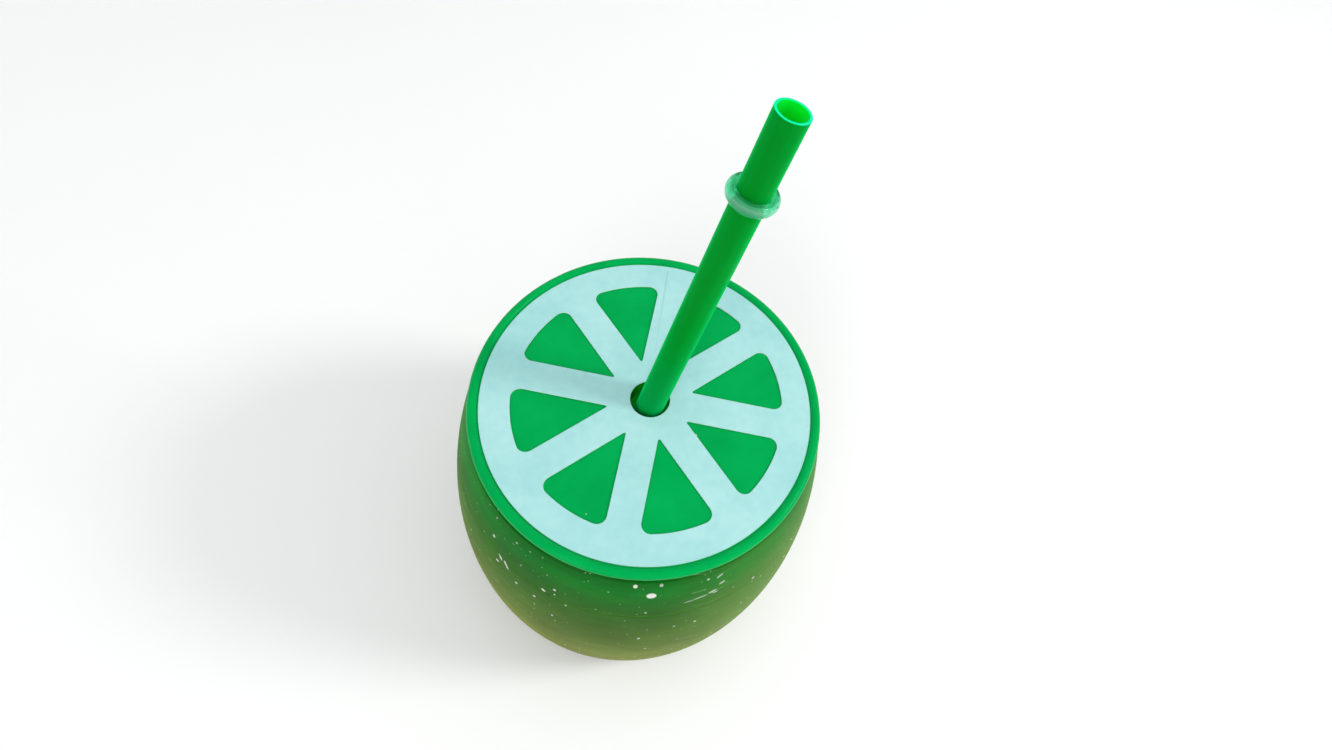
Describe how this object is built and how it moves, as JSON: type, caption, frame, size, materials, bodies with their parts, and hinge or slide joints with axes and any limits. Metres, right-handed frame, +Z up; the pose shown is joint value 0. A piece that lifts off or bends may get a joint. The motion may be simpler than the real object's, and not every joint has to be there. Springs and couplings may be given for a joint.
{
  "type": "drinking cup with lid and straw",
  "caption": "Barrel-shaped drinking cup with a push-fit sealed lid, a citrus-slice top label, a leaning straw and its stop ring.",
  "frame": {"origin": "middle of the flat base, on the surface that the cup stands on", "axes": "+Z up along the cup's axis; +X to the right and +Y away from the person drinking; the straw leans towards +X +Y"},
  "size_m": [0.1032, 0.1032, 0.1869],
  "materials": {
    "cup_body": "glossy, slightly translucent olive green with fine scuffs",
    "lid_plastic": "glossy moulded bright green",
    "label_film": "satin pale mint film",
    "seal_rubber": "soft matte silicone",
    "straw_plastic": "glossy translucent green",
    "ring_plastic": "clear soft mint plastic"
  },
  "bodies": {
    "cup": {"cup_lower_shell": "cup_body", "cup_upper_shell": "cup_body"},
    "seal": {"lid_seal": "seal_rubber"},
    "lid": {"lid": "lid_plastic", "lid_label": "label_film"},
    "straw": {"straw_tube": "straw_plastic"},
    "stop_ring": {"stop_ring": "ring_plastic"}
  },
  "joints": [
    {"name": "lid_lift", "type": "slide", "parent": "cup", "child": "seal", "axis": [0, 0, 1], "range_m": [0, 0.105]},
    {"name": "lid_turn", "type": "hinge", "parent": "seal", "child": "lid", "pos_m": [0, 0, 0.0916], "axis": [0, 0, 1], "continuous": true},
    {"name": "straw_slide", "type": "slide", "parent": "lid", "child": "straw", "axis": [0.157, 0.1389, 0.9778], "range_m": [0, 0.11]},
    {"name": "ring_slide", "type": "slide", "parent": "straw", "child": "stop_ring", "axis": [0.157, 0.1389, 0.9778], "range_m": [-0.066, 0.017]}
  ]
}
